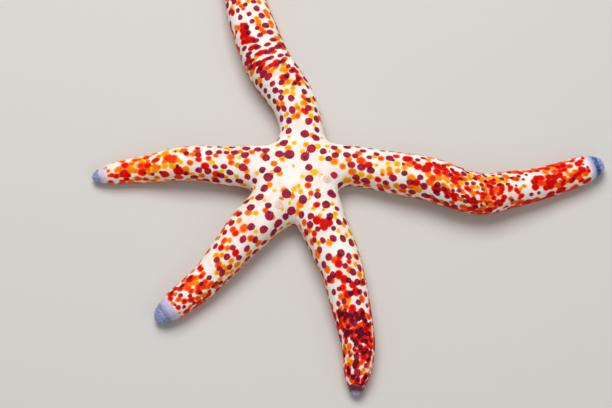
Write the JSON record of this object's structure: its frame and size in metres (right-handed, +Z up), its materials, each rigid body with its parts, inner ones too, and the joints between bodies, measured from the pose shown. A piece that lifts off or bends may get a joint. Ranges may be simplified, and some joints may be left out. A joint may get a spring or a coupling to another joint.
{
  "type": "starfish",
  "caption": "Slender mottled starfish of the Linckia kind at life size, lying flat with long bent arms, furrows and tube feet below.",
  "frame": {"origin": "middle of the bounding box in plan, at floor level, under the animal", "axes": "+Z up, out of the upper side of the disc; +Y towards the arm that points away in the picture; +X towards the longest arm, at the right"},
  "size_m": [0.1216, 0.1186, 0.0106],
  "materials": {
    "skin": "firm granular skin over limy plates, porcelain white with round purple, red and orange dots, satin and faintly moist",
    "terminal_plate": "smooth calcite plate under thin skin, lavender to blue, satin",
    "sieve_plate": "calcite plate with fine winding grooves, pinkish white, matt"
  },
  "bodies": {
    "root": {"disc": "skin", "arm_back_base": "skin", "arm_back_middle": "skin", "arm_back_outer": "skin", "arm_left_base": "skin", "arm_left_outer": "skin", "arm_front_left_base": "skin", "arm_front_left_outer": "skin", "arm_front_base": "skin", "arm_front_middle": "skin", "arm_front_outer": "skin", "arm_right_base": "skin", "arm_right_middle": "skin", "arm_right_outer": "skin", "terminal_plate_back": "terminal_plate", "terminal_plate_left": "terminal_plate", "terminal_plate_front_left": "terminal_plate", "terminal_plate_front": "terminal_plate", "terminal_plate_right": "terminal_plate", "sieve_plate_1": "sieve_plate", "sieve_plate_2": "sieve_plate"}
  },
  "joints": []
}
